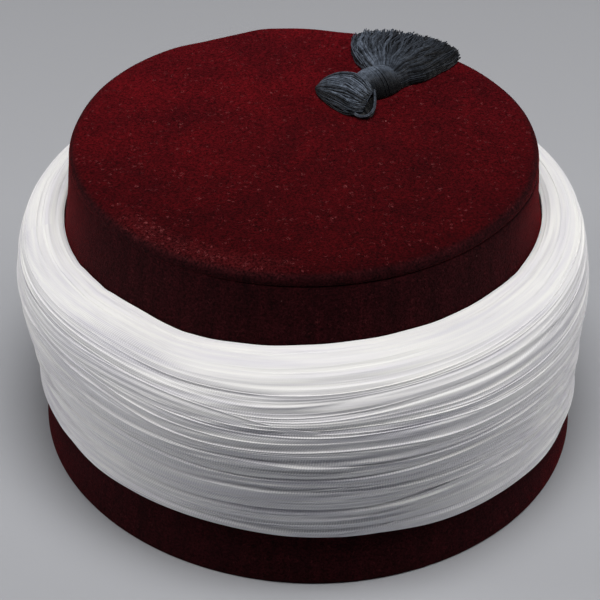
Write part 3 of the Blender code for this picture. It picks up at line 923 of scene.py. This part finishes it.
def build_skirt(thread, place):
    """The fringe: threads that leave the binding together and fan out in wavy locks."""
    rng = np.random.default_rng(41)
    radii, right, left, high = zip(*SKIRT)
    steps = 22
    travel = np.linspace(0, 1, steps)
    bundles = []
    for locks, threads, level in ((44, 4, 1.0), (38, 4, 0.88), (30, 4, 0.66), (24, 5, 0.40), (18, 5, 0.18)):
        across, up, lock = strands(rng, locks, threads, steps, 0.55)
        each = (len(lock), 1)
        phase, drop = rng.uniform(0, 2 * pi, locks)[lock], rng.normal(0, 0.40, locks)[lock]
        tuft = rng.normal(0, 0.32, locks // 2 + 1)[lock // 2] + rng.normal(0, 0.14, locks)[lock]
        share = across.mean(1)
        far = np.interp(-5 + 72 * share, *zip(*REACH)) + tuft + rng.normal(0, 0.08, len(lock))
        r = 3.0 + (far[:, None] - 3.0) * travel
        lo, hi = np.interp(r, radii, right), np.interp(r, radii, left)
        inward = 1 - smooth_step((np.abs(2 * share - 1) - 0.82) / 0.18)
        loose = smooth_step((r - 7) / 16)
        sway = 0.60 * np.sin(2 * pi * r / 19 + phase[:, None]) * (0.3 + 0.7 * inward[:, None])
        sway = sway + 0.14 * np.sin(2 * pi * r / 9 + rng.uniform(0, 6.28, each))
        turn = np.radians(lo + (hi - lo) * across) + sway * loose / np.maximum(r, 8)
        lock_width = np.radians(hi - lo) * r / locks
        edge = 1 - np.abs(2 * across - 1) ** 3.0
        height = np.interp(r, radii, high) * level * (0.22 + 0.78 * np.sqrt(np.clip(edge, 0, 1)))
        height = height + (0.62 * up * lock_width + drop[:, None]) * loose
        height = height + rng.normal(0, 0.16, each) * loose
        height = np.maximum(height, LOWEST_THREAD)
        start = smooth_step((8.5 - r) / 4.5)
        x = r * np.cos(turn) * (1 - start) + r * start
        y = r * np.sin(turn) * (1 - start) + (-4.6 + 11.4 * across) * start
        spread = 1 + rng.normal(0, 0.38, locks)[lock] + rng.normal(0, 0.45, len(lock))
        # Painted light: the threads grow lighter in tone towards the fringe's left edge
        dye = (0.09 + 0.44 * share ** 1.3) * np.clip(spread, 0, 2)
        # Painted shade: the threads beside the binding and those below the others are darker in their tone,
        # as little light reaches them
        lit = (0.1 + 0.9 * level) * (0.45 + 0.55 * smooth_step(height / 2.4))
        bundles.append((np.stack([x, y, height], -1) * MM, THREAD * (1 - 0.3 * travel ** 8), 5,
                        dye[:, None] * lit))
    thread_piece("tassel_fringe", bundles, thread, place, "tassel_skirt")


def build_binding(thread, place):
    """The thread wound round the tassel's neck, with two splits between its windings."""
    rng = np.random.default_rng(42)
    along = np.concatenate([np.arange(first, last, 0.36)
                            for first, last in ((-5.7, 0.1), (0.74, 1.5), (2.2, 8.0))])
    turn = np.linspace(0, 2 * pi, 56)
    bulge = np.sqrt(1 - ((along - 0.4) / 12.0) ** 2) + rng.normal(0, 0.008, len(along))
    wide = np.sqrt(1 - ((along - 0.2) / np.where(along < 0.2, 8.6, 11.0)) ** 2)
    # Each winding is a rounded box
    c, s = (np.sign(wave) * np.abs(wave) ** (2 / 2.3) for wave in (np.cos(turn), np.sin(turn)))
    y = 1.0 + 6.8 * wide[:, None] * c
    z = 0.5 + 7.5 * bulge[:, None] * np.maximum(s, 0)
    # The windings lean, and lie a little askew of each other
    x = along[:, None] + 0.16 * (7.5 - z) + 0.06 * y
    x = x + 0.07 * np.sin(2 * turn + rng.uniform(0, 6.28, (len(along), 1)))
    windings = np.stack([x, y, z], -1) * MM
    # The neck's own threads fill the splits; they get the darkest tone, as painted shade there
    nx, nt = np.meshgrid(np.linspace(-4.6, 5.6, 14), np.linspace(0.10, pi - 0.10, 34))
    slim = np.sqrt(1 - ((nx - 0.2) / 8.6) ** 2)
    neck = np.stack([nx, 1.0 + 6.0 * slim * np.cos(nt), 0.5 + 6.6 * np.sin(nt)], -1) * MM
    # Painted shade: its right side and its foot are darker in their tone, as little light reaches them
    lit = (0.12 + 0.88 * smooth_step((z - 1.0) / 5.5)) * (0.06 + 0.94 * smooth_step((y + 5.0) / 8.0))
    dye = (0.74 + rng.normal(0, 0.13, len(along)))[:, None] * lit
    thread_piece("tassel_winding", [(windings, 0.24 * MM, 6, dye), (neck, 0.36 * MM, 4, 0.0)],
                 thread, place, "tassel_binding")


def build_head(thread, place):
    """The looped end: locks that run crosswise over it from its left tip to its right
    corner, and the loop of threads that turns back under the binding there."""
    rng = np.random.default_rng(43)
    s = np.linspace(0, 1, 28)
    edge, tuck = eased(HEAD_EDGE, s), eased(HEAD_TUCK, s)
    crest = np.interp(s, [0, 0.15, 0.35, 0.6, 0.8, 1], [0.2, 1.6, 2.7, 2.7, 2.0, 0.9])
    inside = np.sin(pi * s)
    bundles = []
    for locks, threads, level in ((15, 3, 0.0), (13, 4, -0.5), (10, 5, -1.2), (8, 5, -2.2)):
        across, up, lock = strands(rng, locks, threads, len(s), 0.6)
        phase, drop = rng.uniform(0, 2 * pi, locks)[lock], rng.normal(0, 0.28, locks)[lock]
        across = np.clip(across + 0.02 * np.sin(2 * pi * s + phase[:, None]), 0, 1)
        path = edge + (tuck - edge) * across[:, :, None]
        lock_width = np.linalg.norm(tuck - edge, axis=1) / locks
        drop = level + rng.normal(0, 0.16, len(lock)) + drop
        path[:, :, 2] += (crest * np.sin(pi * across) ** 0.8 + 0.75 * up * lock_width
                          + drop[:, None] * inside)
        path[:, :, 2] = np.maximum(path[:, :, 2], LOWEST_THREAD)
        spread = 1 + rng.normal(0, 0.40, locks)[lock] + rng.normal(0, 0.45, len(lock))
        dye = (0.33 + 0.38 * across.mean(1)) * np.clip(spread, 0, 2)
        # Painted shade: the lower locks, low-lying threads and the head near the start of its edges are
        # darker in their tone
        lit = (1 + 0.4 * level) * (0.3 + 0.7 * smooth_step((path[:, :, 2] - 0.6) / 3.4))
        lit = lit * (0.35 + 0.65 * smooth_step(s / 0.55))
        bundles.append((path * MM, THREAD, 5, np.clip(dye[:, None] * lit, 0, 1)))
    # The loop's threads lie round its own line, in a flat band
    line = eased(CORNER_LOOP, s)
    count = 7
    swing = np.arange(count)[:, None] * 2.4 + 0.7 * np.sin(3 * s)
    out = np.sqrt((np.arange(count)[:, None] + 0.5) / count)
    ahead = np.gradient(line, axis=0)
    side = unit(np.stack([ahead[:, 1], -ahead[:, 0], 0 * s], -1))
    path = line + side * (0.34 * out * np.cos(swing))[:, :, None]
    path[:, :, 2] = np.maximum(path[:, :, 2] + 0.40 * out * np.sin(swing), LOWEST_THREAD)
    bundles.append((path * MM, 0.19 * MM, 5, 0.32 + rng.normal(0, 0.10, count)))
    # Threads of the darkest tone lie low in the loop's hollow, as painted shade there
    near = np.linspace(0.06, 1, 26)[:, None, None]
    inner = np.stack([np.interp(s, [0, 0.5, 1], ends) for ends in
                      ((-15.6, -11.4, -3.0), (-6.0, -9.0, -4.2), (0.9, 1.2, 1.4))], -1)
    low = line * [1, 1, 0] + [0, 0, 0.8]
    bundles.append(((low * (1 - near) + inner * near) * MM, 0.30 * MM, 4, 0.0))
    thread_piece("tassel_looped_head", bundles, thread, place, "tassel_head")


# Stage
def aim(thing, place, target):
    """Puts a lamp or the camera at a place, turned towards another."""
    thing.location = place
    thing.rotation_euler = (Vector(target) - Vector(place)).to_track_quat("-Z", "Y").to_euler()


def build_stage():
    """A pale floor, three soft lights and the camera of the photograph."""
    mesh = bpy.data.meshes.new("floor")
    half = 3.0
    mesh.from_pydata([(-half, -half, 0), (half, -half, 0), (half, half, 0), (-half, half, 0)],
                     [], [(0, 1, 2, 3)])
    mesh.materials.append(studio_paper())
    put("floor", mesh)
    # Softboxes half a metre wide: place, height and power in watts
    for name, place, height, power in (
            ("top_softbox", (0.0, -0.22, 1.05), 0.5, 8.4),
            ("left_softbox", (-1.0, 0.18, 0.44), 0.6, 5.2),
            ("right_softbox", (1.0, 0.04, 0.42), 0.6, 4.6)):
        lamp = bpy.data.lights.new(name, "AREA")
        lamp.shape = "RECTANGLE"
        lamp.size = 0.5
        lamp.size_y = height
        lamp.energy = power
        lamp.color = (1.0, 0.985, 0.965)
        aim(put(name, lamp), place, (0, 0, 0.06))
    world = bpy.data.worlds.new("studio_air")
    world.use_nodes = True
    air = world.node_tree.nodes["Background"].inputs
    air["Color"].default_value = linear("#cccdf0")
    air["Strength"].default_value = 0.03
    bpy.context.scene.world = world
    lens = bpy.data.cameras.new("camera")
    lens.lens = CAMERA_LENS
    lens.sensor_width = 36.0
    lens.clip_start = 0.01
    lens.clip_end = 20.0
    camera = put("camera", lens)
    back = Vector((sin(CAMERA_AZIMUTH) * cos(CAMERA_ELEVATION),
                   -cos(CAMERA_AZIMUTH) * cos(CAMERA_ELEVATION), sin(CAMERA_ELEVATION)))
    aim(camera, CAMERA_AIM + back * CAMERA_DISTANCE, CAMERA_AIM)
    bpy.context.scene.camera = camera
    bpy.context.scene.view_settings.view_transform = "Standard"


build_stage()
red_velvet, red_back = velvet(), velvet_back()
build_side(red_velvet, red_back)
build_tip(red_velvet, red_back)
white_muslin = muslin()
build_turns(white_muslin)
build_laps(white_muslin)
tassel_place = (Matrix.Translation(TASSEL_PLACE + Vector((MIDDLE.x, MIDDLE.y, TIP_HEIGHT)))
                @ Matrix.Rotation(TASSEL_TURN, 4, "Z"))
blue_black = rayon()
build_skirt(blue_black, tassel_place)
build_binding(blue_black, tassel_place)
build_head(blue_black, tassel_place)
